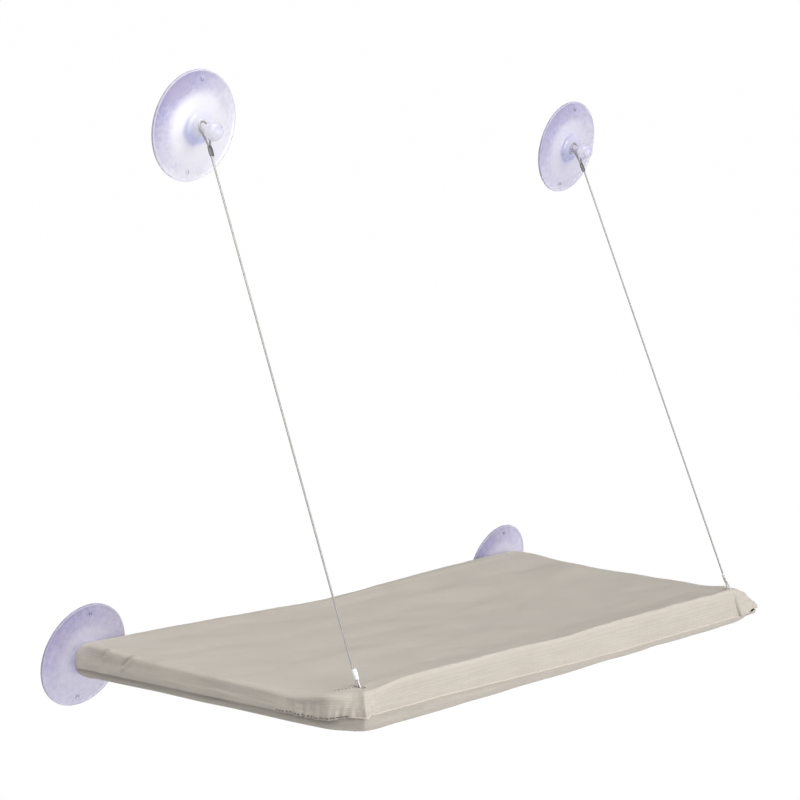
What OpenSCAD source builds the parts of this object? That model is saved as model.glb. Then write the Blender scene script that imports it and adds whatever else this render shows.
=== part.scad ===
// Window mounted cat perch: a cloth covered tube frame that hangs on a window
// pane from four suction cups. Two cables hold up its front edge.
// The pane is the plane y = 0, the room is on the -Y side and Z points up.
// The origin lies on the pane, midway between the axes of the lower cups.

/* [Platform] */
// Distance between the centre lines of the left and right tubes
frame_w = 576; // [300:1:900]
// Distance between the centre lines of the rear and front tubes
frame_d = 272; // [200:1:400]
// Outside diameter of the frame tubes
tube_d = 22; // [21:0.5:30]
// Wall of the frame tubes
tube_wall = 1.5; // [1:0.1:2]
// Radius of the front corners, on the tube's centre line
corner_r = 26; // [22:1:45]
// How far each tube end stands from a rear knob's centre
rear_seat = 20; // [16:1:30]
// How far a fitting's spigot goes into a tube
spigot_l = 24; // [18:1:35]
// Angle at rest between the platform and the level, front edge up
rise_deg = 13; // [0:1:20]
// Angle that the front edge can be lifted by hand from rest
lift_deg = 12; // [4:1:15]

/* [Suction cups] */
// Diameter of a cup's rim
cup_d = 90; // [70:1:120]
// Width of the flat ring that seals on the glass
seal_w = 12; // [8:1:16]
// Depth of the hollow inside the seal
hollow_depth = 2.5; // [1:0.5:4]
// Thickness of the cup at its rim
rim_t = 1.6; // [1:0.1:3]
// Diameter of the boss in the middle
boss_d = 27; // [20:1:34]
// Distance from the glass to the boss face
boss_h = 8.2; // [7.5:0.1:12]
// Diameter of the neck that a cable or a socket goes round
neck_d = 8; // [6:0.5:9]
// Diameter of the knob
knob_d = 16; // [14:0.5:17]
// Distance between the upper cups
upper_w = 518; // [260:1:860]
// Height of the upper cups above the lower cups
upper_h = 445; // [300:1:600]

/* [Cables] */
// Diameter of the cable
cable_d = 1.6; // [1:0.1:2.4]
// Length of a ferrule
ferrule_l = 8; // [6:0.5:14]
// Wall of a ferrule round the cable
ferrule_wall = 0.7; // [0.5:0.1:1.2]
// Distance along the cable from the knob's neck to its ferrule
upper_loop_l = 15; // [12:0.5:24]
// Distance along the cable from the cross pin to its ferrule
lower_loop_l = 20; // [18:0.5:30]
// Diameter of the cross pin in a front fitting
pin_d = 3; // [2:0.1:4]
// Length of the cross pin
pin_l = 15; // [12:0.5:18]

/* [Cover] */
// Thickness of the lined cloth
cloth_t = 1.6; // [0.8:0.1:2.4]
// How far the top panel sags in the middle
sag = 7; // [1:0.5:10]
// Share of the cover's height that lies above the side seam
seam_share = 0.62; // [0.5:0.01:0.8]
// Radius of the raised side seam
seam_r = 0.7; // [0.4:0.1:1.2]
// Width of the binding sewn round each opening
binding_w = 2; // [1:0.1:3]
// Height of that binding
binding_t = 0.6; // [0.3:0.1:1]

/* [Side flaps] */
// Thickness of a flap's cloth
flap_t = 0.8; // [0.5:0.1:1.5]
// Thickness of each hook or loop tape
tape_t = 0.5; // [0.3:0.1:0.8]
// Angle above the level at which a flap is sewn on
flap_top_deg = 35; // [20:1:60]
// Length at the front end over which a flap is stitched shut
shut_l = 62; // [30:1:90]

/* [Hidden] */
$fn = 72;
right = 1;
left = -1;

// Clearances and overruns
overrun = 1;
spigot_gap = 0.1;
seat_gap = 0.1;
neck_gap = 0.5;
pin_gap = 0.05;
cord_gap = 0.3;
cover_gap = 0.3;
cup_gap = 2;
lean_gap = 0.7;
lay_gap = 0.05;

// Radii and levels that follow from the sizes
tube_r = tube_d / 2;
bore_r = tube_r - tube_wall;
cloth_ri = tube_r + cover_gap;
cloth_ro = cloth_ri + cloth_t;
half_w = frame_w / 2;
side_l = frame_d - corner_r;
knob_r = knob_d / 2;
neck_r = neck_d / 2;
knob_reach = boss_h + cup_gap + cloth_ro;
neck_mid = (boss_h + knob_reach - sqrt(knob_r * knob_r - neck_r * neck_r)) / 2 + lean_gap;

// Suction cup
cup_r = cup_d / 2;
hollow_r = cup_r - seal_w;
boss_r = boss_d / 2;
boss_round = 1.5;
shoulder_drop = 2.6;
bead_w = 1.6;
bead_t = 0.7;
pip_r = 1.5;
pip_rise = 0.5;
pip_inset = 8;
dome_power = 1.8;
dome_steps = 10;

// Screws, one at each spigot, with the head inside the frame
screw_d = 3;
screw_l = 8;
screw_head_d = 5.6;
screw_head_t = 1.8;
screw_inset = spigot_l / 2;

// Cable anchor in the front fittings
anchor_deg = 65;
anchor_drop = 5;
anchor_side = half_w - corner_r + corner_r * cos(anchor_deg);
anchor_front = -side_l - corner_r * sin(anchor_deg);
anchor_level = tube_r - anchor_drop;
cable_r = cable_d / 2;
strand_x = cable_r + lay_gap;
pin_r = pin_d / 2;
slot_w = cable_d + 4 * cord_gap;
slot_r = pin_r + 2 * cord_gap + cable_d;
slot_l = tube_d;
cable_sides = 8;
loop_steps = 18;

// Points and directions of the right cable, in the frame of the whole part
function from_platform(p) = [
    p.x,
    p.y * cos(rise_deg) + p.z * sin(rise_deg) - knob_reach,
    p.z * cos(rise_deg) - p.y * sin(rise_deg)
];
function unit(v) = v / norm(v);
neck_point = [upper_w / 2, -neck_mid, upper_h];
pin_point = from_platform([anchor_side, anchor_front, anchor_level]);
cable_dir = unit(neck_point - pin_point);
across_dir = unit([0, cable_dir.z, -cable_dir.y]);
plane_dir = unit(cross([1, 0, 0], cable_dir));

// Angle at which a strand from the point (s, -h) touches a circle of radius r
function touch_deg(r, s, h) = atan2(-h, s) + acos(r / norm([s, h]));

// Upper loop: an ellipse over the neck, drawn in the plane of X and the cable
upper_r = neck_r + cord_gap + cable_r;
upper_touch = touch_deg(upper_r, strand_x, upper_loop_l * cable_dir.z);
function upper_at(u, w) = neck_point + u * [1, 0, 0] + w * cable_dir;
upper_path = concat(
    [upper_at(-strand_x, -upper_loop_l - ferrule_l), upper_at(-strand_x, -upper_loop_l)],
    [for (k = [0:loop_steps])
        let (a = 180 - upper_touch - (180 - 2 * upper_touch) * k / loop_steps)
        upper_at(upper_r * cos(a), upper_r * sin(a) / cable_dir.z)],
    [upper_at(strand_x, -upper_loop_l), upper_at(strand_x, -upper_loop_l - ferrule_l)]
);

// Lower loop: a circle under the cross pin, drawn across it
lower_r = pin_r + cord_gap + cable_r;
lower_touch = touch_deg(lower_r, strand_x, lower_loop_l);
function lower_at(v, w) = pin_point + v * across_dir + w * cable_dir;
lower_path = concat(
    [lower_at(strand_x, lower_loop_l + ferrule_l), lower_at(strand_x, lower_loop_l)],
    [for (k = [0:loop_steps])
        let (a = -lower_touch - (180 - 2 * lower_touch) * k / loop_steps)
        lower_at(lower_r * cos(a), lower_r * sin(a))],
    [lower_at(-strand_x, lower_loop_l), lower_at(-strand_x, lower_loop_l + ferrule_l)]
);

// Holds its children on the platform, which turns about the lower knobs
module on_platform() {
    translate([0, -knob_reach, 0]) rotate([-rise_deg, 0, 0]) children();
}

// Mirrors its children, drawn for the right, to the side named
module on_side(side) {
    mirror([side == left ? 1 : 0, 0, 0]) children();
}

// Turns its children from the Z axis to the cable, with their X axis along x_dir
module along_cable(point, x_dir) {
    y_dir = cross(cable_dir, x_dir);
    multmatrix([
        [x_dir.x, y_dir.x, cable_dir.x, point.x],
        [x_dir.y, y_dir.y, cable_dir.y, point.y],
        [x_dir.z, y_dir.z, cable_dir.z, point.z],
        [0, 0, 0, 1]
    ]) children();
}

// A suction cup whose axis is Z, with its seal on z = 0
module suction_cup() {
    shoulder_h = boss_h - shoulder_drop;
    dome = [for (k = [0:dome_steps])
        let (t = k / dome_steps)
        [cup_r - bead_w + (boss_r - cup_r + bead_w) * t,
            rim_t + (shoulder_h - rim_t) * pow(t, dome_power)]];
    hollow = [for (k = [0:dome_steps])
        let (t = k / dome_steps)
        [hollow_r * t, hollow_depth * cos(90 * t)]];
    edge = [for (k = [0:dome_steps])
        let (a = 90 * k / dome_steps)
        [boss_r - boss_round + boss_round * cos(a), boss_h - boss_round + boss_round * sin(a)]];
    rotate_extrude() polygon(concat(
        hollow,
        [[cup_r, 0], [cup_r, rim_t + bead_t / 2], [cup_r - bead_w / 2, rim_t + bead_t]],
        dome, edge, [[0, boss_h]]
    ));
    cylinder(r = neck_r, h = knob_reach);
    translate([0, 0, knob_reach]) sphere(r = knob_r);
    for (a = [0, 180]) {
        rotate([0, 0, a]) translate([0, cup_r - pip_inset, rim_t / 2])
            cylinder(r = pip_r, h = rim_t / 2 + bead_t + pip_rise);
    }
}

module cup_on_glass(x, z) {
    color("lavender", 0.6) translate([x, 0, z]) rotate([90, 0, 0]) suction_cup();
}

// A frame tube along Z, centred
module frame_tube(l) {
    color("gainsboro") difference() {
        cylinder(r = tube_r, h = l, center = true);
        cylinder(r = bore_r, h = l + 2 * overrun, center = true);
        for (end = [left, right]) {
            translate([0, 0, end * (l / 2 - screw_inset)]) rotate([0, 90, 0])
                cylinder(r = screw_d / 2 + pin_gap, h = tube_r + overrun);
        }
    }
}

// Lays a piece that is drawn along Z, with its inner side on +X, on each rail
module on_rail_front() {
    translate([0, -frame_d, 0]) rotate([0, 0, 90]) rotate([90, 0, 0]) children();
}
module on_rail_rear() {
    rotate([0, 0, -90]) rotate([90, 0, 0]) children();
}
side_mid = -(side_l + rear_seat) / 2;
module on_rail_right() {
    translate([half_w, side_mid, 0]) rotate([0, 0, 180]) rotate([90, 0, 0]) children();
}
front_l = frame_w - 2 * corner_r;
rear_l = frame_w - 2 * rear_seat;
rail_l = side_l - rear_seat;

// One screw drawn on +X of a rail, at the height given along it
module screw(along) {
    translate([tube_r + lay_gap, 0, along]) rotate([0, 90, 0]) {
        cylinder(d = screw_head_d, h = screw_head_t);
        translate([0, 0, -screw_l]) cylinder(d = screw_d, h = screw_l);
    }
}

// Screws of all four rails, or the pilot holes for them
module screws_at(l) {
    for (end = [left, right]) screw(end * (l / 2 - screw_inset));
}

module frame_screws() {
    color("silver") on_platform() {
        on_rail_front() screws_at(front_l);
        on_rail_rear() screws_at(rear_l);
        for (side = [left, right]) on_side(side) on_rail_right() screws_at(rail_l);
    }
}

// Pilot holes of the right fittings
module pilot_holes() {
    module pilot(l, end) {
        translate([0, 0, end * (l / 2 - screw_inset)]) rotate([0, 90, 0])
            cylinder(r = screw_d / 2 + pin_gap, h = tube_r);
    }
    for (end = [left, right]) {
        on_rail_front() pilot(front_l, end);
        on_rail_rear() pilot(rear_l, end);
        on_rail_right() pilot(rail_l, end);
    }
}

// A spigot along Z from the origin
module spigot() {
    cylinder(r = bore_r - spigot_gap, h = spigot_l);
}

// The slot that the right cable's lower loop runs in
module cable_slot() {
    along_cable(pin_point, [1, 0, 0] - cable_dir.x * cable_dir) {
        rotate([0, 90, 0]) cylinder(r = slot_r, h = slot_w, center = true);
        translate([-slot_w / 2, -slot_r, 0]) cube([slot_w, 2 * slot_r, slot_l]);
    }
}

module cable_pin(gap = 0) {
    on_platform() translate([anchor_side, anchor_front, anchor_level]) rotate([0, 90, 0])
        cylinder(r = pin_r + gap, h = pin_l + 2 * gap, center = true);
}

module front_corner(side) {
    color("dimgray") on_side(side) difference() {
        on_platform() difference() {
            union() {
                translate([half_w - corner_r, -side_l, 0]) rotate([0, 0, -90])
                    rotate_extrude(angle = 90) translate([corner_r, 0]) circle(r = tube_r);
                translate([half_w, -side_l, 0]) rotate([-90, 0, 0]) spigot();
                translate([half_w - corner_r, -frame_d, 0]) rotate([0, -90, 0]) spigot();
            }
            pilot_holes();
        }
        cable_slot();
        cable_pin(pin_gap);
    }
}

// The room that the neck needs as the platform turns on the knobs: a slice of
// the width given, from the angle low_deg up to the end of the lift
module neck_sweep(w, low_deg) {
    top_deg = rise_deg + lift_deg;
    rotate([0, -90, 0]) rotate([0, 0, 90 - top_deg])
        rotate_extrude(angle = top_deg - low_deg)
            translate([0, -w / 2]) square([cloth_ro + 2 * overrun, w]);
    rotate([top_deg - 90, 0, 0]) cylinder(r = w / 2, h = cloth_ro + 2 * overrun);
}

module rear_corner(side) {
    color("dimgray") on_platform() on_side(side) difference() {
        translate([half_w, 0, 0]) difference() {
            union() {
                sphere(r = tube_r);
                rotate([0, -90, 0]) cylinder(r = tube_r, h = rear_seat);
                rotate([90, 0, 0]) cylinder(r = tube_r, h = rear_seat);
                translate([-rear_seat, 0, 0]) rotate([0, -90, 0]) spigot();
                translate([0, -rear_seat, 0]) rotate([90, 0, 0]) spigot();
            }
            sphere(r = knob_r + seat_gap);
            translate([0, 0, -tube_r - overrun])
                cylinder(r = knob_r + seat_gap, h = tube_r + overrun);
            neck_sweep(neck_d + 2 * neck_gap, -90);
        }
        pilot_holes();
    }
}

// Rings of the cable's tube: each is turned so that its corners meet the next
function level(ref, t) = unit(ref - (ref * t) * t);
function tube_rings(path, ref, turn) = [for (i = [0:len(path) - 1])
    let (
        t = unit(path[min(i + 1, len(path) - 1)] - path[max(i - 1, 0)]),
        e1 = level(ref, t),
        e2 = cross(t, e1)
    )
    [for (k = [0:cable_sides - 1])
        let (a = 360 * k / cable_sides + turn)
        path[i] + cable_r * (cos(a) * e1 + sin(a) * e2)]];

// A closed tube through rings of points
module swept(rings) {
    n = len(rings[0]);
    last = (len(rings) - 1) * n;
    walls = [for (i = [0:len(rings) - 2]) for (k = [0:n - 1])
        let (a = i * n + k, b = i * n + (k + 1) % n)
        each [[a, b + n, b], [a, a + n, b + n]]];
    caps = [for (k = [1:n - 2]) each [[0, k, k + 1], [last, last + k + 1, last + k]]];
    polyhedron([for (r = rings) each r], concat(walls, caps));
}

module cable(side) {
    color("silver") on_side(side) swept(concat(
        tube_rings(upper_path, plane_dir, -90),
        tube_rings(lower_path, [1, 0, 0], 0)
    ));
}

// A ferrule along Z from the origin, oval round the two strands side by side
module ferrule() {
    module oval(r, h) {
        for (s = [left, right]) translate([s * strand_x, 0, 0]) cylinder(r = r, h = h);
        translate([-strand_x, -r, 0]) cube([2 * strand_x, 2 * r, h]);
    }
    difference() {
        oval(cable_r + ferrule_wall, ferrule_l);
        translate([0, 0, -overrun]) oval(cable_r + lay_gap, ferrule_l + 2 * overrun);
    }
}

module upper_ferrule(side) {
    color("lightgray") on_side(side)
        along_cable(upper_at(0, -upper_loop_l - ferrule_l), unit([1, 0, 0] - cable_dir.x * cable_dir))
            ferrule();
}

module lower_ferrule(side) {
    color("lightgray") on_side(side)
        along_cable(lower_at(0, lower_loop_l), across_dir) ferrule();
}

// Half of the cloth's section round a tube, with the outer side on +X
module half_ring(ri = cloth_ri, ro = cloth_ro) {
    difference() {
        circle(r = ro);
        circle(r = ri);
        translate([-ro - overrun, -ro - overrun]) square([ro + overrun, 2 * (ro + overrun)]);
    }
}

// Cloth round the right rail, its front corner and its rear knob
module side_cloth() {
    translate([half_w, -side_l / 2, 0]) rotate([90, 0, 0])
        linear_extrude(side_l, center = true) half_ring();
    translate([half_w - corner_r, -side_l, 0]) rotate([0, 0, -90])
        rotate_extrude(angle = 90) translate([corner_r, 0]) half_ring();
    translate([half_w, 0, 0]) rotate_extrude(angle = 90) half_ring();
}

// The opening in the cloth for a lower knob
opening_w = neck_d + 6 * neck_gap;
opening_low_deg = -55;
module knob_openings(w = opening_w) {
    for (side = [left, right]) {
        on_side(side) translate([half_w, 0, 0]) neck_sweep(w, opening_low_deg);
    }
}

module cover_side_band(side) {
    color("tan") difference() {
        on_platform() difference() {
            on_side(side) side_cloth();
            knob_openings();
        }
        on_side(side) cable_slot();
    }
}

module cover_front_band() {
    color("tan") on_platform() translate([0, -frame_d, 0]) rotate([0, 0, -90]) rotate([90, 0, 0])
        linear_extrude(front_l, center = true) half_ring();
}

module rear_cloth(ri, ro) {
    rotate([0, 0, 90]) rotate([90, 0, 0]) linear_extrude(frame_w, center = true) half_ring(ri, ro);
}

module cover_rear_band() {
    color("tan") on_platform() difference() {
        rear_cloth(cloth_ri, cloth_ro);
        knob_openings();
    }
}

// Binding sewn round the right knob opening
module knob_opening(side) {
    inner = cloth_ro + lay_gap;
    outer = inner + binding_t;
    color("rosybrown") on_platform() on_side(side) difference() {
        intersection() {
            union() {
                rear_cloth(inner, outer);
                translate([half_w, 0, 0]) rotate_extrude(angle = 90) half_ring(inner, outer);
            }
            translate([half_w, 0, 0]) neck_sweep(opening_w + 2 * binding_w, opening_low_deg);
        }
        translate([half_w, 0, 0]) neck_sweep(opening_w, opening_low_deg);
    }
}

// Plan of the panels, out to the tubes' centre lines
module panel_plan() {
    translate([-half_w, -side_l]) square([frame_w, side_l]);
    translate([corner_r - half_w, -frame_d]) square([front_l, corner_r + overrun]);
    for (side = [left, right]) {
        translate([side * (half_w - corner_r), -side_l]) circle(r = corner_r);
    }
}

// The top panel is held at the tubes and hangs a little between them
panel_cols = 24;
panel_rows = 10;
corner_rows = 5;
panel_y = concat(
    [for (j = [0:panel_rows]) -side_l * j / panel_rows],
    [for (j = [1:corner_rows]) -side_l - corner_r * sin(90 * j / corner_rows)]
);
function half_width(y) = -y <= side_l ? half_w
    : half_w - corner_r + sqrt(max(0, corner_r * corner_r - pow(-y - side_l, 2)));
function panel_points(z) = [for (y = panel_y) for (i = [0:panel_cols])
    let (s = 2 * i / panel_cols - 1)
    [s * half_width(y), y, z - sag * (1 - s * s) * sin(180 * y / -frame_d)]];

module sagging_panel() {
    n = panel_cols + 1;
    m = len(panel_y);
    below = n * m;
    cells = [for (j = [0:m - 2]) for (i = [0:n - 2]) j * n + i];
    top = [for (a = cells) each [[a, a + 1, a + n + 1], [a, a + n + 1, a + n]]];
    bottom = [for (f = top) [f[2] + below, f[1] + below, f[0] + below]];
    rim = concat(
        [for (i = [0:n - 2]) i],
        [for (j = [0:m - 2]) j * n + n - 1],
        [for (i = [n - 1:-1:1]) (m - 1) * n + i],
        [for (j = [m - 1:-1:1]) j * n]
    );
    walls = [for (k = [0:len(rim) - 1])
        let (a = rim[k], b = rim[(k + 1) % len(rim)])
        each [[a, a + below, b + below], [a, b + below, b]]];
    polyhedron(concat(panel_points(cloth_ro), panel_points(cloth_ri)), concat(top, bottom, walls));
}

module cover_top_panel() {
    color("tan") difference() {
        on_platform() sagging_panel();
        for (side = [left, right]) on_side(side) cable_slot();
    }
}

module cover_bottom_panel() {
    color("tan") on_platform() difference() {
        translate([0, 0, -cloth_ro]) linear_extrude(cloth_t) panel_plan();
        knob_openings();
    }
}

// The raised seam at the front, the rear and the corners, a strip that lies
// against the bands
seam_level = cloth_ro * (1 - 2 * seam_share);
seam_in = sqrt(cloth_ro * cloth_ro - pow(max(0, -seam_level - seam_r), 2)) + lay_gap;
seam_stop = opening_w / 2 + binding_w + 2 * lay_gap;

// Outline of the frame's centre line, grown by g
module outline(g) {
    translate([-half_w - g, -side_l]) square([frame_w + 2 * g, side_l]);
    translate([-half_w, -side_l]) square([frame_w, side_l + g]);
    translate([corner_r - half_w, -frame_d - g]) square([front_l, corner_r + g + overrun]);
    for (side = [left, right]) {
        translate([side * half_w, 0]) circle(r = g);
        translate([side * (half_w - corner_r), -side_l]) circle(r = corner_r + g);
    }
}

module cover_seam() {
    color("rosybrown") on_platform() translate([0, 0, seam_level - seam_r])
        linear_extrude(2 * seam_r) difference() {
            outline(seam_in + 2 * seam_r);
            outline(seam_in);
            for (side = [left, right]) {
                translate([side * half_w - seam_stop, 0])
                    square([2 * seam_stop, seam_in + 2 * seam_r + overrun]);
            }
            translate([-half_w - 2 * cloth_ro, -side_l]) square([frame_w + 4 * cloth_ro, side_l]);
        }
}

// Bindings of the two cable buttonholes, on the top panel. The cable crosses
// the cloth behind the pin, because it leans back towards the glass.
exit_lean = tan(acos(cable_dir.z) - rise_deg);
exit_back = (cloth_ro - anchor_level) * exit_lean;
hole_half = slot_r * sqrt(1 + exit_lean * exit_lean);
module cable_buttonholes() {
    module oval(r) {
        for (s = [left, right]) translate([0, s * (hole_half - slot_w / 2)]) circle(r = r);
        translate([-r, slot_w / 2 - hole_half]) square([2 * r, 2 * hole_half - slot_w]);
    }
    color("rosybrown") on_platform() for (side = [left, right]) {
        on_side(side) translate([anchor_side, anchor_front + exit_back, cloth_ro + lay_gap])
            linear_extrude(binding_t) difference() {
                oval(slot_w / 2 + binding_w);
                oval(slot_w / 2 + lay_gap);
            }
    }
}

// A flap on the right side hangs over the hook and loop tapes down to the seam
flap_low_deg = asin(seam_level / cloth_ro);
tape_margin_deg = 6;
hem_deg = 5;
loop_ri = cloth_ro + lay_gap;
hook_ri = loop_ri + tape_t + lay_gap;
flap_ri = hook_ri + tape_t + lay_gap;
module arc_strip(ri, ro, low_deg, top_deg, l) {
    far = 2 * ro;
    translate([half_w, 0, 0]) rotate([90, 0, 0]) linear_extrude(l) intersection() {
        difference() {
            circle(r = ro);
            circle(r = ri);
        }
        polygon([
            [0, 0],
            [far * cos(low_deg), far * sin(low_deg)],
            [far * cos(top_deg), far * sin(top_deg)]
        ]);
    }
}

module cover_flap(side) {
    color("tan") on_platform() on_side(side) {
        arc_strip(flap_ri, flap_ri + flap_t, flap_low_deg, flap_top_deg, side_l);
        arc_strip(loop_ri, flap_ri + flap_t, flap_top_deg - hem_deg, flap_top_deg, side_l);
    }
}

module flap_tape(side, ri) {
    color("rosybrown") on_platform() on_side(side)
        arc_strip(ri, ri + tape_t, flap_low_deg + tape_margin_deg,
            flap_top_deg - hem_deg - tape_margin_deg, side_l - shut_l);
}

cup_on_glass(-upper_w / 2, upper_h);  // suction_cup_upper_left
cup_on_glass(upper_w / 2, upper_h);  // suction_cup_upper_right
cup_on_glass(-half_w, 0);  // suction_cup_lower_left
cup_on_glass(half_w, 0);  // suction_cup_lower_right
on_platform() on_rail_front() frame_tube(front_l);  // front_tube
on_platform() on_rail_rear() frame_tube(rear_l);  // rear_tube
on_platform() on_side(left) on_rail_right() frame_tube(rail_l);  // left_tube
on_platform() on_rail_right() frame_tube(rail_l);  // right_tube
front_corner(left);  // front_left_corner
front_corner(right);  // front_right_corner
rear_corner(left);  // rear_left_corner
rear_corner(right);  // rear_right_corner
frame_screws();
color("silver") for (side = [left, right]) on_side(side) cable_pin();  // cable_pins
cable(left);  // cable_left
cable(right);  // cable_right
upper_ferrule(left);  // upper_ferrule_left
upper_ferrule(right);  // upper_ferrule_right
lower_ferrule(left);  // lower_ferrule_left
lower_ferrule(right);  // lower_ferrule_right
cover_top_panel();
cover_bottom_panel();
cover_front_band();
cover_rear_band();
cover_side_band(left);  // cover_left_band
cover_side_band(right);  // cover_right_band
cover_seam();
cable_buttonholes();
knob_opening(left);  // knob_opening_left
knob_opening(right);  // knob_opening_right
cover_flap(left);  // cover_left_flap
cover_flap(right);  // cover_right_flap
flap_tape(left, hook_ri);  // flap_hook_tape_left
flap_tape(right, hook_ri);  // flap_hook_tape_right
flap_tape(left, loop_ri);  // flap_loop_tape_left
flap_tape(right, loop_ri);  // flap_loop_tape_right
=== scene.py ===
from math import acos, atan2, copysign, cos, exp, hypot, pi, radians, sin, sqrt, tan

import bmesh
import bpy
from mathutils import Matrix, Vector, noise


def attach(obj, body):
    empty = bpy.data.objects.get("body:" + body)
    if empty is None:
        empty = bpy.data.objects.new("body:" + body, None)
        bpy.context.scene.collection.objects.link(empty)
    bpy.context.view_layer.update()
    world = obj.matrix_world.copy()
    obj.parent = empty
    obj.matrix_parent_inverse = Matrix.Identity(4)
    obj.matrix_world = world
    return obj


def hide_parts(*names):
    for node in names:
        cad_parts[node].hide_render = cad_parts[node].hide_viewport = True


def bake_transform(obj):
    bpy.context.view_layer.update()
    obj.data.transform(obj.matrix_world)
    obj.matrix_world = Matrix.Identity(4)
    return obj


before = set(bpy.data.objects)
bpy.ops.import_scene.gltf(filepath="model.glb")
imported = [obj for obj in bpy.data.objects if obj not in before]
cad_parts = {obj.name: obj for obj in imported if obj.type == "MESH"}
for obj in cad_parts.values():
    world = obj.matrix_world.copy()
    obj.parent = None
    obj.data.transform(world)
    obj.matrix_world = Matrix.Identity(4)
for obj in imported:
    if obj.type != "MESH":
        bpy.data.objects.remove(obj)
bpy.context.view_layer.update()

mm = 0.001
scene = bpy.context.scene

# Places that several pieces share, in millimetres and degrees
layout = {
    "halfWidth": 288.0,
    "depth": 272.0,
    "cornerRadius": 26.0,
    "rise": 13.0,
    "knobReach": 23.1,
    "upperHalf": 259.0,
    "upperHeight": 445.0,
}
halfWidth = layout["halfWidth"]
depth = layout["depth"]
cornerRadius = layout["cornerRadius"]
sideLength = depth - cornerRadius
platformPlace = (
    Matrix.Translation((0, -layout["knobReach"], 0))
    @ Matrix.Rotation(-radians(layout["rise"]), 4, "X")
)


def limit(value, low, high):
    return min(high, max(low, value))


def smooth(t):
    t = limit(t, 0.0, 1.0)
    return t * t * (3 - 2 * t)


def ramp(x, start, end):
    return smooth((x - start) / (end - start))


def bell(x, centre, width):
    return exp(-((x - centre) / width) ** 2)


def bells(x, rows):
    # a sum of bumps: height, middle and width of each
    return sum(height * bell(x, *spot) for height, *spot in rows)


def evenly(count):
    return [k / count for k in range(count + 1)]


# Camera
camera = {
    "azimuth": -52.612,
    "elevation": 13.254,
    "roll": 10.849,
    "place": (-1.404935, -1.128760, 0.633736),
    "focalPixels": 2023.18,
    "imagePixels": 800,
    "sensor": 36.0,
    "clipEnd": 50.0,
}


def makeCamera():
    azimuth, elevation, roll = (radians(camera[key]) for key in ("azimuth", "elevation", "roll"))
    back = Vector((sin(azimuth) * cos(elevation), -cos(azimuth) * cos(elevation), sin(elevation)))
    level = (-back).cross(Vector((0, 0, 1))).normalized()
    up = level.cross(-back)
    right = cos(roll) * level + sin(roll) * up
    above = cos(roll) * up - sin(roll) * level
    data = bpy.data.cameras.new("camera")
    data.sensor_width = camera["sensor"]
    data.lens = camera["focalPixels"] / camera["imagePixels"] * camera["sensor"]
    data.clip_end = camera["clipEnd"]
    made = bpy.data.objects.new("camera", data)
    made.matrix_world = Matrix((right, above, back)).transposed().to_4x4()
    made.location = camera["place"]
    scene.collection.objects.link(made)
    scene.camera = made


makeCamera()
print("camera placed")


# Shader sockets that can be added, taken away and multiplied in plain sums
class Wire:
    def __init__(self, finish, socket):
        self.finish = finish
        self.socket = socket

    def maths(self, operation, first, second):
        return self.finish.node("Math", {"operation": operation}, {0: first, 1: second})

    def __add__(self, other):
        return self.maths("ADD", self, other)

    def __sub__(self, other):
        return self.maths("SUBTRACT", self, other)

    def __rsub__(self, other):
        return self.maths("SUBTRACT", other, self)

    def __mul__(self, other):
        return self.maths("MULTIPLY", self, other)

    def sine(self):
        return self.maths("SINE", self, 0.0)

    __radd__ = __add__
    __rmul__ = __mul__


# A material and the nodes that its colour, gloss and bump are made of
class Finish:
    def __init__(self, name):
        self.material = bpy.data.materials.new(name)
        self.material.use_nodes = True
        self.tree = self.material.node_tree
        self.tree.nodes.clear()
        self.surface = self.node("BsdfPrincipled")
        self.out = self.tree.nodes.new("ShaderNodeOutputMaterial")
        self.show(self.surface)

    def show(self, shader):
        self.tree.links.new(shader.socket, self.out.inputs["Surface"])

    def feed(self, socket, value):
        if isinstance(value, Wire):
            self.tree.links.new(value.socket, socket)
        else:
            socket.default_value = value

    def node(self, kind, settings=None, inputs=None, output=0):
        made = self.tree.nodes.new("ShaderNode" + kind)
        for key, value in (settings or {}).items():
            setattr(made, key, value)
        for key, value in (inputs or {}).items():
            self.feed(made.inputs[key], value)
        return Wire(self, made.outputs[output])

    def set(self, **values):
        for key, value in values.items():
            self.feed(self.surface.socket.node.inputs[key.replace("_", " ")], value)

    def attribute(self, name):
        return self.node("Attribute", {"attribute_name": name}, output=2)

    def objectPlace(self):
        return self.node("TexCoord", output=3)

    def noise(self, vector, scale, detail=2.0, roughness=0.5):
        inputs = {"Vector": vector, "Scale": scale, "Detail": detail, "Roughness": roughness}
        return self.node("TexNoise", {}, inputs)

    def blendColour(self, factor, *colours):
        first, second = (c if isinstance(c, Wire) else (*c, 1.0) for c in colours)
        return self.node("Mix", {"data_type": "RGBA"}, {0: factor, 6: first, 7: second}, output=2)

    def fade(self, value, edge, kind="SMOOTHSTEP"):
        inputs = {"Value": value, "From Min": edge[0], "From Max": edge[1]}
        return self.node("MapRange", {"interpolation_type": kind}, inputs)

    def bump(self, height, distance, strength):
        return self.node("Bump", {}, {"Height": height, "Distance": distance, "Strength": strength})

    def stretch(self, vector, *scale):
        return self.node("Mapping", {}, {"Vector": vector, "Scale": scale})


def weighed(wires, shares, total=0.0):
    # the named wires, each times its share
    for name, share in shares.items():
        total = share * wires[name] + total
    return total


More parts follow.
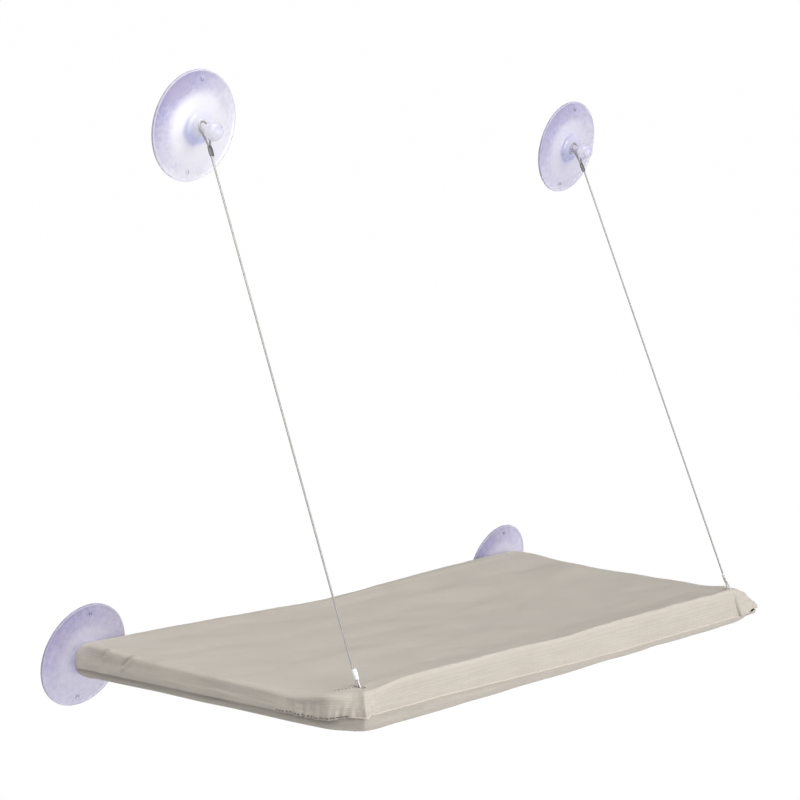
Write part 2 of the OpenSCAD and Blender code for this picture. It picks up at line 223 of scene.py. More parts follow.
# Cloth of the cover: a plain weave with slubs, in metres on the flat cut
weave = {
    "pitch": 0.0013,
    "light": (0.575, 0.532, 0.473),
    "dark": (0.47, 0.43, 0.375),
    # painted shade colour, laid into the creases and the ear's fold
    "paintedFoldShade": (0.13, 0.11, 0.085),
    "slub": (900, 60),
    "patchScale": 14.0,
    "fuzzScale": 2600.0,
    "tone": {"warp": 0.1092, "weft": 0.0336, "slubU": 0.26, "slubV": 0.22, "patch": 0.32, "fuzz": 0.34},
    "toneShift": -0.07,
    "toneEdge": (0.3, 0.72),
    "height": {"warp": 0.45, "weft": 0.15, "slubU": 0.35, "slubV": 0.35, "fuzz": 0.55},
    "bump": (0.00022, 0.75),
    "rough": 0.86,
    "spread": 0.1,
}


def clothFinish():
    cloth = Finish("coverCloth")
    flat = cloth.node("UVMap", {"uv_map": "flat"})
    split = cloth.node("SeparateXYZ", {}, {"Vector": flat}).socket.node.outputs
    turn = 2 * pi / weave["pitch"]
    fine, coarse = weave["slub"]
    threads = {
        "warp": cloth.attribute("ribbed") * (Wire(cloth, split[0]) * turn).sine(),
        "weft": (Wire(cloth, split[1]) * turn).sine(),
        "slubU": cloth.noise(cloth.stretch(flat, fine, coarse, 1), 1.0, 3.0),
        "slubV": cloth.noise(cloth.stretch(flat, coarse, fine, 1), 1.0, 3.0),
        "patch": cloth.noise(flat, weave["patchScale"], 3.0),
        "fuzz": cloth.noise(flat, weave["fuzzScale"]),
    }
    level = cloth.fade(weighed(threads, weave["tone"], weave["toneShift"]), weave["toneEdge"], "LINEAR")
    colour = cloth.blendColour(level, weave["dark"], weave["light"])
    cloth.set(
        # painted shade darkens the cloth in the creases and the ear's fold
        Base_Color=cloth.blendColour(cloth.attribute("paintedFoldShade"), colour, weave["paintedFoldShade"]),
        Normal=cloth.bump(weighed(threads, weave["height"]), *weave["bump"]),
        Roughness=weave["rough"] + weave["spread"] * (threads["slubU"] - 0.5),
        Sheen_Weight=0.18,
        Sheen_Roughness=0.5,
        Specular_IOR_Level=0.22,
    )
    return cloth.material


# Clear soft vinyl: the thick outer ring and the boss read as deeper lavender; painted shade darkens each
# cup's upper left, some whole cups and the top of the knob, and makes the lower side of the boss bluer
vinyl = {
    "pale": (0.93, 0.92, 0.985),
    "deep": (0.44, 0.42, 0.70),
    "warm": (0.55, 0.50, 0.68),
    # the bluish colour round the boss, on its lower side painted shade
    "blue": (0.56, 0.58, 0.88),
    # the first layer follows the thickness of the vinyl; the others carry painted shade, the last one
    # together with the thicker boss
    "layers": ("ring", "lean", "paintedCupShade", "foot"),
    "spots": {"cloud": (30.0, 4.0, 0.6), "speck": (240.0, 4.0, 0.65), "grain": (900.0, 2.0)},
    "edge": {"ring": 1.0, "cloud": 0.1, "lean": 0.25},
    "edgeShift": -0.175,
    "outer": (0.54, 0.76),
    "lip": (0.955, 0.985),
    "lipShare": 0.75,
    "paintedCupShadeShare": 1.1,
    "mottle": {"cloud": 0.35, "speck": 0.9},
    "mottleShift": -0.595,
    "paintedSideShadeShare": 1.15,
    "paintedDarkening": {"cloud": 0.5, "speck": 0.9},
    "paintedDarkeningShift": 0.15,
    "warmer": (2.2, 0.3),
    "foot": (0.5, 0.6),
    "rough": (0.1, 0.16),
    "height": {"cloud": 0.5, "speck": 0.3, "grain": 0.2},
    "bump": (0.0009, 0.6),
}


def vinylFinish():
    clear = Finish("clearVinyl")
    place = clear.objectPlace()
    spots = {name: clear.noise(place, *sizes) for name, sizes in vinyl["spots"].items()}
    ring, lean, paintedCupShade, foot = (clear.attribute(name) for name in vinyl["layers"])
    cloud = spots["cloud"]
    # painted shade: the deep outer ring reaches further in towards each cup's upper left
    edge = weighed({**spots, "ring": ring, "lean": lean}, vinyl["edge"], vinyl["edgeShift"])
    lip = clear.fade(ring, vinyl["lip"])
    outer = clear.fade(edge, vinyl["outer"]) * (1 - vinyl["lipShare"] * lip)
    mottle = weighed(spots, vinyl["mottle"], vinyl["mottleShift"])
    # painted shade: darker towards the upper left, on some whole cups and on the knob's top
    share = outer * (1 - vinyl["paintedCupShadeShare"] * paintedCupShade) * (vinyl["paintedSideShadeShare"] * lean * lean + mottle)
    share = share + paintedCupShade * weighed(spots, vinyl["paintedDarkening"], vinyl["paintedDarkeningShift"])
    (rise, start), (low, spread), (rough, rougher) = vinyl["warmer"], vinyl["foot"], vinyl["rough"]
    deep = clear.blendColour(rise * (cloud - start), vinyl["deep"], vinyl["warm"])
    tone = clear.blendColour(share, vinyl["pale"], deep)
    clear.set(
        # bluer round the boss for the thicker vinyl, and on its lower side as painted shade
        Base_Color=clear.blendColour(foot * (low + spread * cloud), tone, vinyl["blue"]),
        Transmission_Weight=0.6,
        IOR=1.46,
        Roughness=rough + rougher * cloud,
        Specular_IOR_Level=0.3,
        Normal=clear.bump(weighed(spots, vinyl["height"]), *vinyl["bump"]),
    )
    return clear.material


# Thread, metal and plastic: the noise of the colour, how far the roughness spreads, the bump
grains = {
    "thread": {"scale": 2400.0, "detail": 2.0, "spread": 0.15, "bump": (0.0003, 0.8)},
    "metal": {"scale": 500.0, "detail": 4.0, "spread": 0.25, "bump": (0.0001, 0.5)},
    "plastic": {"scale": 60.0, "detail": 3.0, "spread": 0.2, "bump": (0.00008, 0.5), "fine": 1500.0},
}


def grainFinish(name, kind, light, dark, rough, scale=None, loopPaintedLight=None):
    sort = grains[kind]
    made = Finish(name)
    place = made.objectPlace()
    grain = made.noise(place, scale or sort["scale"], sort["detail"])
    tone = made.blendColour(grain, dark, light)
    # painted highlight: the rope's lower loop paler than the rest of the same steel
    if loopPaintedLight:
        tone = made.blendColour(made.attribute("loop") * (0.75 + 0.25 * grain), tone, loopPaintedLight)
    made.set(
        Base_Color=tone,
        Metallic=1.0 if kind == "metal" else 0.0,
        Roughness=rough + sort["spread"] * (grain - 0.5),
        Normal=made.bump(made.noise(place, sort["fine"]) if "fine" in sort else grain, *sort["bump"]),
    )
    return made.material


coverCloth = clothFinish()
clearVinyl = vinylFinish()
pipingCloth = grainFinish("pipingCloth", "thread", (0.62, 0.56, 0.49), (0.5, 0.45, 0.39), 0.8)
seamThread = grainFinish("seamThread", "thread", (0.40, 0.34, 0.28), (0.24, 0.2, 0.17), 0.8)
darkThread = grainFinish("darkThread", "thread", (0.16, 0.13, 0.11), (0.09, 0.07, 0.06), 0.8)
tapeFinish = grainFinish("tapeFinish", "thread", (0.42, 0.37, 0.31), (0.3, 0.26, 0.22), 0.8)
# the steel of the cables, with a painted highlight making the lower loop paler
cableSteel = grainFinish(
    "cableSteel", "metal", (0.42, 0.405, 0.39), (0.23, 0.22, 0.21), 0.42, 900.0, loopPaintedLight=(0.62, 0.59, 0.58)
)
darkCrimp = grainFinish("darkCrimp", "metal", (0.2, 0.2, 0.2), (0.1, 0.1, 0.1), 0.45)
ferruleMetal = grainFinish("ferruleMetal", "metal", (0.93, 0.93, 0.94), (0.8, 0.8, 0.82), 0.3)
fixingSteel = grainFinish("fixingSteel", "metal", (0.72, 0.72, 0.7), (0.55, 0.55, 0.54), 0.35, 300.0)
tubePlastic = grainFinish("tubePlastic", "plastic", (0.83, 0.83, 0.81), (0.77, 0.77, 0.75), 0.45)
fittingPlastic = grainFinish("fittingPlastic", "plastic", (0.05, 0.05, 0.055), (0.03, 0.03, 0.033), 0.5)
print("finishes made")


def objectFrom(name, shape, material=None):
    # a mesh object in metres, from a shape drawn in millimetres
    bmesh.ops.scale(shape, vec=(mm, mm, mm), verts=shape.verts)
    mesh = bpy.data.meshes.new(name)
    shape.to_mesh(mesh)
    shape.free()
    if material:
        mesh.materials.append(material)
        for face in mesh.polygons:
            face.use_smooth = True
    made = bpy.data.objects.new(name, mesh)
    scene.collection.objects.link(made)
    return made


def addPiece(name, shape, body, material):
    bmesh.ops.remove_doubles(shape, verts=shape.verts, dist=1e-6)
    bmesh.ops.recalc_face_normals(shape, faces=shape.faces)
    piece = objectFrom(name, shape, material)
    if body:
        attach(piece, body)
    return piece


def extruded(shape, edges):
    # the edges and corners that one more step of a rim adds
    made = bmesh.ops.extrude_edge_only(shape, edges=edges)["geom"]
    return (
        [part for part in made if isinstance(part, bmesh.types.BMEdge)],
        [part for part in made if isinstance(part, bmesh.types.BMVert)],
    )


# Suction cups, spun from one profile: radius and distance from the glass
cup = {
    "radius": 45.0,
    "hollowRadius": 33.0,
    "hollowDepth": 2.5,
    "rimPoints": (
        (36.0, 0.0), (40.0, 0.0), (43.5, 0.0), (44.7, 0.05), (45.0, 0.35), (45.0, 1.6), (44.7, 2.1),
        (44.2, 2.3), (43.7, 2.2), (43.2, 1.85),
    ),
    "rim": 1.6,
    "domeRadii": (43.0, 15.2),
    "domeCurve": 1.8,
    "domeSteps": 16,
    "shoulder": 5.6,
    "bossRadius": 13.5,
    "bossPoints": (
        (14.5, 5.7), (14.0, 6.1), (13.5, 6.6), (12.9, 7.1), (12.0, 7.6), (10.8, 8.0), (9.4, 8.3),
        (8.0, 8.55), (6.8, 8.7), (6.3, 8.85), (6.15, 9.1), (5.9, 9.35), (5.2, 9.5), (4.5, 9.7),
        (4.1, 10.4), (4.0, 12.8), (4.0, 14.8), (4.05, 16.0),
    ),
    "neck": 4.0,
    "knob": 7.85,
    "knobStart": 32.0,
    "knobSteps": 18,
    "ribSize": (0.55, 0.85, 1.9),
    "ribTurn": 0.28,
    "ribApart": 1.3,
    "ribRadius": 37.0,
    "steps": 120,
    "paintedSideShadeShare": 0.35,
    "knobFrom": (15.0, 17.0),
    "knobPaintedShade": 0.42,
    "knobPaintedShadeAt": (-1.0, 5.0),
    "foot": (11.0, 4.5),
    "footPaintedShadeLeast": 0.35,
    "footPaintedShadeAt": (7.0, -7.0),
    # painted shade: how much darker each cup is painted as a whole
    "paintedCupShades": {"upper_left": 0.0, "upper_right": 0.4, "lower_left": 0.5, "lower_right": 0.45},
}


def domeHeight(r):
    start = cup["radius"] - cup["rim"]
    t = max(0.0, (start - r) / (start - cup["bossRadius"]))
    return cup["rim"] + (cup["shoulder"] - cup["rim"]) * t ** cup["domeCurve"]


def cupProfile():
    points = [
        (cup["hollowRadius"] * t, cup["hollowDepth"] * cos(t * pi / 2))
        for t in evenly(cup["domeSteps"])
    ]
    points += cup["rimPoints"]
    outer, inner = cup["domeRadii"]
    for t in evenly(cup["domeSteps"])[1:]:
        r = outer - (outer - inner) * t
        points.append((r, domeHeight(r)))
    points += cup["bossPoints"]
    for t in evenly(cup["knobSteps"]):
        a = radians(cup["knobStart"] + (180 - cup["knobStart"]) * t)
        points.append((max(0.0, cup["knob"] * sin(a)), layout["knobReach"] - cup["knob"] * cos(a)))
    return points


def addRib(shape, turn, lean):
    # one of the two small ribs beside each other near the rim
    rib = bmesh.ops.create_uvsphere(shape, u_segments=16, v_segments=10, radius=1)["verts"]
    bmesh.ops.scale(shape, vec=cup["ribSize"], verts=rib)
    for angle, place in (
        (lean * cup["ribTurn"], (lean * cup["ribApart"], -domeHeight(cup["ribRadius"]), cup["ribRadius"])),
        (turn, (0, 0, 0)),
    ):
        bmesh.ops.rotate(shape, cent=(0, 0, 0), matrix=Matrix.Rotation(angle, 3, "Y"), verts=rib)
        bmesh.ops.translate(shape, vec=place, verts=rib)


def makeCup(name, paintedDarkening):
    shape = bmesh.new()
    verts = [shape.verts.new((r, -away, 0)) for r, away in cupProfile()]
    for pair in zip(verts, verts[1:]):
        shape.edges.new(pair)
    bmesh.ops.spin(
        shape, geom=shape.verts[:] + shape.edges[:], cent=(0, 0, 0), axis=(0, 1, 0),
        angle=2 * pi, steps=cup["steps"], use_merge=True,
    )
    for turn in (0, pi):
        for lean in (-1, 1):
            addRib(shape, turn, lean)
    ring, lean, paintedCupShade, foot = (shape.verts.layers.float.new(key) for key in vinyl["layers"])
    for v in shape.verts:
        r = hypot(v.co.x, v.co.z)
        knob = ramp(-v.co.y, *cup["knobFrom"])
        v[ring] = r / cup["radius"]
        # painted shade: darker towards the upper left of each cup, paler towards the lower right
        v[lean] = 0.5 + cup["paintedSideShadeShare"] * (v.co.z - v.co.x) / cup["radius"]
        # painted shade: some whole cups darker than others, and the knob darker on its upper side
        v[paintedCupShade] = paintedDarkening * (1 - 0.5 * knob)
        v[paintedCupShade] += cup["knobPaintedShade"] * knob * ramp(v.co.z, *cup["knobPaintedShadeAt"])
        # a bluish ring round the boss for its thicker vinyl, stronger on the lower side as painted shade
        v[foot] = (1 - knob) * bell(r, *cup["foot"])
        v[foot] *= cup["footPaintedShadeLeast"] + (1 - cup["footPaintedShadeLeast"]) * ramp(v.co.z, *cup["footPaintedShadeAt"])
    upper = name.startswith("upper")
    x = layout["upperHalf"] if upper else halfWidth
    place = (-x if name.endswith("left") else x, 0, layout["upperHeight"] if upper else 0)
    bmesh.ops.translate(shape, vec=place, verts=shape.verts)
    piece = addPiece("suction_cup_" + name + "_vinyl", shape, "window_cups", clearVinyl)
    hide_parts("suction_cup_" + name)


for name, paintedDarkening in cup["paintedCupShades"].items():
    makeCup(name, paintedDarkening)
print("suction cups made")

# Cables: one rope from the upper ferrule round the neck, down to the cross pin and round it
rope = {
    "diameter": 1.6,
    "layGap": 0.05,
    "cordGap": 0.3,
    "ferrule": 8.0,
    "tail": 0.5,
    "upperLoop": 15.0,
    "lowerLoop": 20.0,
    "loopSteps": 24,
    "pinRadius": 1.5,
    "anchorDegrees": 65.0,
    "anchorLevel": 6.0,
    "bossTop": 8.2,
    "knobRadius": 8.0,
    "neckShift": 0.7,
    "strands": 6,
    "strandSides": 5,
    "groove": 0.2,
    "grooveCurve": 0.7,
    "layLength": 11.0,
    "step": 0.7,
    "paintedLightFade": 4.0,
}
ropeRadius = rope["diameter"] / 2
strandX = ropeRadius + rope["layGap"]
anchor = radians(rope["anchorDegrees"])
anchorSide = halfWidth - cornerRadius * (1 - cos(anchor))
anchorFront = -sideLength - cornerRadius * sin(anchor)
neckEnd = layout["knobReach"] - sqrt(rope["knobRadius"] ** 2 - cup["neck"] ** 2)
neckDepth = (rope["bossTop"] + neckEnd) / 2 + rope["neckShift"]
neckPoint = Vector((layout["upperHalf"], -neckDepth, layout["upperHeight"]))
pinPoint = platformPlace @ Vector((anchorSide, anchorFront, rope["anchorLevel"]))
cableDir = (neckPoint - pinPoint).normalized()
acrossDir = Vector((0, cableDir.z, -cableDir.y)).normalized()
sideDir = (Vector((1, 0, 0)) - cableDir.x * cableDir).normalized()


def loopRoute(centre, across, radius, reach, turn, squeeze=1.0):
    # along one strand, round the neck or the pin and back along the other
    radius += rope["cordGap"] + ropeRadius
    h = reach * squeeze
    touch = atan2(-h, strandX) + acos(radius / hypot(strandX, h))
    far = -reach - rope["ferrule"]
    tails = (rope["tail"], 0.0) if turn > 0 else (0.0, rope["tail"])
    spots = [(-strandX, far + tails[0]), (-strandX, -reach)]
    for t in evenly(rope["loopSteps"]):
        a = pi - touch - (pi - 2 * touch) * t
        spots.append((radius * cos(a), radius * sin(a) / squeeze))
    spots += [(strandX, -reach), (strandX, far + tails[1])]
    return [centre + turn * (u * across + w * cableDir) for u, w in spots]


def ropeRoute():
    corners = loopRoute(neckPoint, Vector((1, 0, 0)), cup["neck"], rope["upperLoop"], 1, cableDir.z)
    corners += loopRoute(pinPoint, acrossDir, rope["pinRadius"], rope["lowerLoop"], -1)
    out = corners[:1]
    for a, b in zip(corners, corners[1:]):
        count = max(1, round((b - a).length / rope["step"]))
        out += [a.lerp(b, t) for t in evenly(count)[1:]]
    return out


def addCurve(name, dimensions, places):
    data = bpy.data.curves.new(name, "CURVE")
    data.dimensions = dimensions
    line = data.splines.new("POLY")
    line.points.add(len(places) - 1)
    for point, (x, y, z) in zip(line.points, places):
        point.co = (x * mm, y * mm, z * mm, 1)
    made = bpy.data.objects.new(name, data)
    scene.collection.objects.link(made)
    return made, line


def evaluated(made):
    bpy.context.view_layer.update()
    seen = made.evaluated_get(bpy.context.evaluated_depsgraph_get())
    return bpy.data.meshes.new_from_object(seen)


def makeCable(side, sign):
    outline = []
    corners = rope["strands"] * rope["strandSides"]
    for k in range(corners):
        a = 2 * pi * k / corners
        bulge = abs(cos(a * rope["strands"] / 2)) ** rope["grooveCurve"]
        r = ropeRadius * (1 - rope["groove"] + rope["groove"] * bulge)
        outline.append((r * cos(a), r * sin(a), 0))
    profile, ring = addCurve("ropeProfile", "2D", outline)
    ring.use_cyclic_u = True
    route = [Vector((sign * p.x, p.y, p.z)) for p in ropeRoute()]
    curve, line = addCurve("cable_curve_" + side, "3D", route)
    curve.data.bevel_mode = "OBJECT"
    curve.data.bevel_object = profile
    curve.data.use_fill_caps = True
    run = 0.0
    for k, p in enumerate(route):
        run += (p - route[k - 1]).length if k else 0.0
        line.points[k].tilt = 2 * pi * run / rope["layLength"]
    mesh = evaluated(curve)
    bpy.data.objects.remove(curve)
    bpy.data.objects.remove(profile)
    shape = bmesh.new()
    shape.from_mesh(mesh)
    bpy.data.meshes.remove(mesh)
    bmesh.ops.scale(shape, vec=(1 / mm, 1 / mm, 1 / mm), verts=shape.verts)
    loop = shape.verts.layers.float.new("loop")  # 1 on the lower loop, which a painted highlight makes paler
    paintedLightTop = pinPoint.z + rope["lowerLoop"]
    for v in shape.verts:
        v[loop] = 1 - ramp(v.co.z, paintedLightTop, paintedLightTop + rope["paintedLightFade"])
    piece = addPiece("cable_rope_" + side, shape, None, cableSteel)
    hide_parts("cable_" + side)
    return piece, route, run


# Crimped sleeves: an oval drawn from a circle in steps, pinched where it was crimped
sleeve = {
    "wall": 0.75,
    "spread": 0.95,
    "segments": 32,
    "steps": 20,
    "crimps": (0.3, 0.7),
    "crimpWidth": 0.07,
    "crimpDepth": 0.12,
    "endThin": 0.28,
    "endNarrow": 0.12,
    "thickness": 0.55,
}


def makeFerrule(name, side, sign, foot, wide, body, finish):
    shape = bmesh.new()
    ring = bmesh.ops.create_circle(shape, segments=sleeve["segments"], radius=1)["verts"]
    outer = ropeRadius + sleeve["wall"]
    bmesh.ops.scale(shape, vec=(outer + strandX * sleeve["spread"], outer, 1), verts=ring)
    edges = shape.edges[:]
    base = [v.co.copy() for v in ring]
    for t in evenly(sleeve["steps"])[1:]:
        edges, verts = extruded(shape, edges)
        end = abs(2 * t - 1) ** 4
        crimp = max(bell(t, c, sleeve["crimpWidth"]) for c in sleeve["crimps"])
        pinch = 1 - sleeve["crimpDepth"] * crimp - sleeve["endThin"] * end
        for v, b in zip(verts, base):
            v.co = (b.x * (1 - sleeve["endNarrow"] * end), b.y * pinch, t * rope["ferrule"])
    bmesh.ops.solidify(shape, geom=shape.faces[:], thickness=sleeve["thickness"])
    matrix = Matrix((wide, cableDir.cross(wide), cableDir)).transposed().to_4x4()
    matrix.translation = foot
    bmesh.ops.transform(shape, matrix=matrix, verts=shape.verts)
    if sign < 0:
        bmesh.ops.scale(shape, vec=(-1, 1, 1), verts=shape.verts)
    piece = addPiece(name + "_sleeve_" + side, shape, body, finish)
    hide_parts(name + "_" + side)
    return piece


for side, sign in (("left", -1), ("right", 1)):
    cablePiece, route, ropeLength = makeCable(side, sign)
    upperFoot = neckPoint - (rope["upperLoop"] + rope["ferrule"]) * cableDir
    lowerFoot = pinPoint + rope["lowerLoop"] * cableDir
    upperSleeve = makeFerrule("upper_ferrule", side, sign, upperFoot, sideDir, "window_cups", darkCrimp)
    lowerSleeve = makeFerrule("lower_ferrule", side, sign, lowerFoot, acrossDir, "platform", ferruleMetal)
    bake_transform(cablePiece)
print("cables and ferrules made, each rope", round(ropeLength, 1), "mm long")

# Cover: an upper shell of cloth that ends in a hem over a lower shell, in millimetres
cover = {
    "radius": 12.9,
    "hemLevel": -3.1,
    "squares": (8.0, 3.0, 3.6),
    "sideFlare": 3.0,
    "frontFlare": 0.9,
    "rearBulge": 0.25,
    "thickness": 1.1,
    "gridX": (26, (60, 60), 1.2, 4.6),
    "gridY": (26, (64, 60), 1.6, 4.2),
    "sag": 7.0,
    "shutLength": 62.0,
    "cornerTip": (27.5, 39.1),
    "cornerSide": 1.6,
    "cornerStart": {-1: 0.15, 1: 0.45},
    "cornerEnd": 1.5,
    "bulgeIn": (0.0, 1.3),
    "bulgeOut": (2.2, 3.0),
    "riseRear": {-1: 5.5, 1: 8.5},
    "riseRearEnd": 0.62,
    "riseFront": 6.6,
    "riseFrontAt": (0.8, 1.0),
    "riseDrop": {-1: 0.15, 1: 0.5},
    "riseDropAt": (246.0, 282.0),
    "frontBumps": ((1.2, -230, 60), (-2.2, -36, 40)),
    "hemFront": 6.4,
    "hemFrontAt": (0.35, -1.0),
    "hemSide": {-1: 0.8, 1: 0.6},
    "hemCorner": {-1: 3.2, 1: 0.0},
    "hemCornerAt": (252.0, 286.0),
    "rollStart": (0.0, 0.5),
    "rollEnd": (1.3, 1.8),
    "hemStart": (1.1, 1.8),
    "frontRidge": 4.6,
    "ridgeDrop": {-1: 0.35, 1: 0.9},
    "ridgeDropAt": (236.0, 276.0),
    "ridgeAngle": (0.74, 0.27),
    "sideRidge": 2.6,
    "sideAngle": (0.76, 0.24),
    "sideCreases": (
        ((-18.5, 8.5), (-24.0, 13.0), 1.2),
        ((-41.5, 6.0), (-51.5, 13.0), 1.8),
        ((-72.0, 11.0), (-79.0, 14.5), 0.6),
    ),
    "creaseFrom": (0.35, 0.7),
    "creaseLifts": ((0.8, 2.2, 2.0), (-0.8, 0.0, 1.3)),
    "creasePaintedShade": ((0.25, -0.3, 1.1),),
    "puckerRun": 16.0,
    "puckerFrom": (0.8, 1.5),
    "tipFolds": {
        -1: ((1.7, 0.0, 0.06), (-1.5, 0.17, 0.09), (-1.1, -0.22, 0.1)),
        1: ((0.3, 0.0, 0.06), (-0.2, 0.17, 0.09), (-1.1, -0.22, 0.1)),
    },
    "tipFoldFrom": (0.5, 1.0),
    "earCrease": ((248.0, 6.8), (257.0, -4.5)),
    "earLifts": ((2.0, -2.3, 1.5), (-1.0, 0.0, 1.0), (2.2, 2.7, 1.9)),
    "earPaintedShade": ((0.85, 0.5, 1.0),),
    "earMiddle": 3.3,
    "earTip": 2.3,
    "earRoot": (0.45, 0.85),
    "earOpen": (1.38, 1.12),
    "earTipFrom": 1.1,
    "earDrop": 2.6,
    "earDropAt": (1.38, 0.98),
    "earDropAngle": (0.85, 0.4),
}

# Waves of the cloth: height, both scales and seed
waves = {
    "front": ((0.9, 0.012, 1.0, 2.2), (0.5, 0.045, 1.0, 6.1)),
    "ridge": ((0.8, 0.025, 1.0, 8.8),),
    "panel": ((2.3, 0.008, 0.03, 3.1), (0.3, 0.03, 0.11, 1.4)),
    "slant": ((1.035, 0.018, 0.055, 7.7),),
    "roll": ((0.35, 0.03, 5.0, 5.3), (0.175, 0.11, 8.0, 2.9)),
    "hem": ((0.8, 0.028, 1.0, 9.2), (0.3, 0.13, 1.0, 4.4)),
    "underside": ((0.6, 0.01, 0.02, 12.4),),
    "lowerRoll": ((0.9, 0.022, 2.4, 15.1),),
}
hemAngle = acos(cover["hemLevel"] / cover["radius"])
tipAngle = atan2(cover["cornerTip"][1], cover["cornerTip"][0])


def waving(kind, x, y=0.0):
    return sum(
        height * noise.noise(Vector((x * scaleX, y * scaleY, seed)))
        for height, scaleX, scaleY, seed in waves[kind]
    )


def sideOf(x):
    return -1 if x < 0 else 1


def cornerReach(phi):
    # how far the folded front corner stands out beyond the round one
    plain = cornerRadius + cover["radius"]
    tipX, tipY = cover["cornerTip"]
    if phi >= tipAngle:
        reach = min(plain / max(sin(phi), 0.2), hypot(tipX, tipY))
    else:
        side = plain + cover["cornerSide"]
        bow = (side - tipX) / tipY ** 2
        t = max(tan(phi), 1e-4)
        y = (sqrt(1 + 4 * bow * side * t * t) - 1) / (2 * bow * t)
        reach = plain + (hypot(side - bow * y * y, y) - plain) * smooth(phi / 0.3)
    return reach / plain


def planPlace(flatX, flatY):
    # direction outwards, corner, its radius and the distance from it, or nothing in the middle
    front = flatY < -sideLength
    rc = cornerRadius if front else 0.0
    cx = halfWidth - rc
    cy = -sideLength if front else 0.0
    u = abs(flatX) - cx
    v = cy - flatY if front else flatY
    if u <= 0 and v <= 0:
        return None
    if v <= 0:
        return 1.0, 0.0, cx, flatY, rc, u, front
    if u <= 0:
        return 0.0, 1.0, abs(flatX), cy, rc, v, front
    phi = atan2(v, u)
    return cos(phi), sin(phi), cx, cy, rc, max(u, v), front


def squareness(dx, dy, front, sign, squares):
    # how square the roll's section is: 2 is round
    squareFront, squareSide, squareRear = squares
    corner = 4 * dx * dx * dy * dy
    n = squareSide * dx * dx + (squareFront if front else squareRear) * dy * dy
    if front and sign > 0:
        n += (2.0 - n) * corner
    elif front and dx and dy:
        near = ramp(atan2(dy, dx), tipAngle - 0.1, tipAngle + 0.1)
        n = squareSide + (squareFront - squareSide) * near
    elif not front:
        n += corner
    return n


def coverPoint(flatX, flatY, shell):
    # returns the place, the outward normal, the angle round the tube, direction
    sign, radius = sideOf(flatX), shell["radius"]
    found = planPlace(flatX, flatY)
    if found is None:
        return Vector((flatX, flatY, radius)), Vector((0, 0, 1)), 0.0, (0.0, 0.0)
    dx, dy, cx, cy, rc, far, front = found
    ySign = -1 if front else 1
    if far <= rc:
        place = Vector((sign * (cx + dx * far), cy + ySign * dy * far, radius))
        return place, Vector((0, 0, 1)), 0.0, (dx, dy)
    theta = (far - rc) / radius
    s, c = sin(theta), cos(theta)
    n = squareness(dx, dy, front, sign, shell["squares"])
    k = (abs(s) ** n + abs(c) ** n) ** (-1 / n)
    flare = smooth(theta / hemAngle) ** 1.5
    out = radius * k * s + flare * (shell["sideFlare"] * dx * dx + shell["frontFlare"] * dy * dy)
    grow, when = 1.0, smooth(sin(min(theta, pi / 2)) * 1.15)
    if front and dx and dy:
        grow = cornerReach(atan2(dy, dx))
        when = ramp(theta, cover["cornerStart"][sign], cover["cornerEnd"])
    elif dx and dy:
        swell = ramp(theta, *cover["bulgeIn"]) * (1 - ramp(theta, *cover["bulgeOut"]))
        grow = (dx ** 4 + dy ** 4) ** -0.25 + shell["rearBulge"] * 4 * dx * dx * dy * dy * swell
    reach = (rc + out) * (1 + (grow - 1) * when)
    place = Vector((sign * (cx + dx * reach), cy + ySign * dy * reach, radius * k * c))
    return place, Vector((sign * dx * s, ySign * dy * s, c)), theta, (dx, dy)


def edgeRise(x, y, sign):
    # the cloth stands up above the tubes at the rear corners and the front
    t = limit(-y / depth, 0.0, 1.0)
    s = sin(pi / 2 * min(1.0, abs(x) / halfWidth))
    rear = cover["riseRear"][sign] * s ** 1.3 * max(0.0, 1 - t / cover["riseRearEnd"]) ** 1.6
    wave = waving("front", x) + bells(x, cover["frontBumps"])
    ends = 1 - cover["riseDrop"][sign] * ramp(abs(x), *cover["riseDropAt"])
    return rear + (cover["riseFront"] * ends + wave) * ramp(t, *cover["riseFrontAt"]) ** 1.4


def hemRise(x, y, dx, dy, sign):
    s = limit(x / halfWidth, -1.0, 1.0)
    side = cover["hemSide"][sign] + cover["hemCorner"][sign] * ramp(-y, *cover["hemCornerAt"])
    front = cover["hemFront"] * ramp(s, *cover["hemFrontAt"]) if y < -depth / 2 else 0.0
    return side * dx * dx + front * dy * dy


def hollow(x, y):
    # how far the top hangs down between the tubes
    if y >= 0 or y <= -depth:
        return 0.0
    half = halfWidth
    past = -y - sideLength
    if past > 0:
        half += sqrt(max(0.0, cornerRadius ** 2 - past ** 2)) - cornerRadius
    s = min(1.0, abs(x) / half)
    return cover["sag"] * (1 - s ** 2.6) * sin(pi * -y / depth) ** 0.7


def crease(x, y, start, end):
    # how near the ends of a short crease, the distance beside it, the share along it
    ax, ay = start
    bx, by = end
    length = hypot(bx - ax, by - ay)
    ux, uy = (bx - ax) / length, (by - ay) / length
    along = (x - ax) * ux + (y - ay) * uy
    beside = (x - ax) * -uy + (y - ay) * ux
    return bell(max(0.0, -along, along - length), 0, 3.0), beside, along / length


